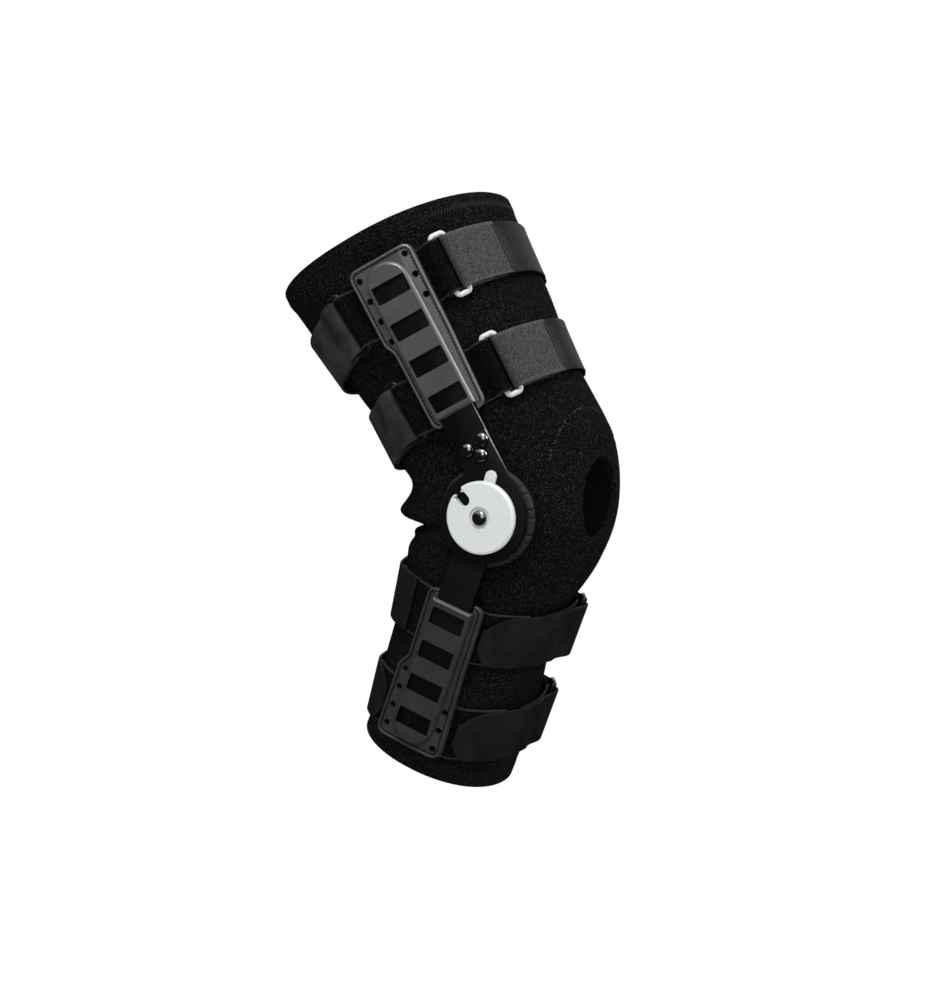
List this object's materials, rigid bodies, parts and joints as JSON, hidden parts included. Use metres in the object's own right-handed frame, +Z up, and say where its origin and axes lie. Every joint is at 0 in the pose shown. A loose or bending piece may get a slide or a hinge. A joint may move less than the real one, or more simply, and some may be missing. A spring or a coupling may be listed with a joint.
{
  "type": "open-patella hinged knee brace",
  "caption": "Black open-patella knee brace in its worn, bent form: plush neoprene sleeve, strapped hinged splints with windowed shells and a white limiter dial.",
  "frame": {"origin": "knee centre, where the hinge axis crosses the middle plane of the leg", "axes": "+X to the front of the knee, +Y to the inner side of a right leg, +Z up"},
  "size_m": [0.2396, 0.1724, 0.4098],
  "materials": {
    "plush": "black plush loop pile over neoprene",
    "strap": "smooth dark webbing",
    "twill": "charcoal twill webbing",
    "shell": "semi-matte moulded plastic",
    "black_steel": "black coated bar with bright worn edges",
    "white_plastic": "cool white moulded plastic",
    "ring_white": "light grey plastic ring",
    "gloss_black": "glossy black",
    "pad_foam": "dark grey foam pad"
  },
  "bodies": {
    "brace": {"sleeve": "plush", "outer_upper_arm": "black_steel", "inner_upper_arm": "black_steel", "outer_lower_arm": "black_steel", "inner_lower_arm": "black_steel", "outer_upper_shell": "shell", "inner_upper_shell": "shell", "outer_lower_shell": "shell", "inner_lower_shell": "shell", "arm_rivet_1": "gloss_black", "arm_rivet_2": "gloss_black", "arm_rivet_3": "gloss_black", "outer_pad": "pad_foam", "inner_pad": "pad_foam", "dial_rivet": "gloss_black", "inner_hinge_cap": "gloss_black", "front_ring_thigh_upper": "ring_white", "front_ring_thigh_lower": "ring_white", "back_ring_thigh_upper": "gloss_black", "back_ring_thigh_lower": "gloss_black", "ring_calf_upper": "gloss_black", "ring_calf_lower": "gloss_black", "outer_tab_thigh_upper": "plush", "outer_tab_thigh_lower": "plush", "outer_tab_calf_upper": "plush", "outer_tab_calf_lower": "plush", "inner_tab_thigh_upper": "plush", "inner_tab_thigh_lower": "plush", "inner_tab_calf_upper": "plush", "inner_tab_calf_lower": "plush", "fold_thigh_upper": "twill", "fold_thigh_lower": "twill", "front_strap_thigh_upper": "strap", "front_strap_thigh_lower": "strap", "front_strap_calf_upper": "strap", "front_strap_calf_lower": "strap", "back_strap_thigh_upper": "strap", "back_strap_thigh_lower": "strap", "back_strap_calf_upper": "strap", "back_strap_calf_lower": "strap"},
    "dial": {"dial": "white_plastic"}
  },
  "joints": [
    {"name": "dial_turn", "type": "hinge", "parent": "brace", "child": "dial", "pos_m": [0, -0.069, 0], "axis": [0, 1, 0], "range_deg": [-60, 60]}
  ]
}
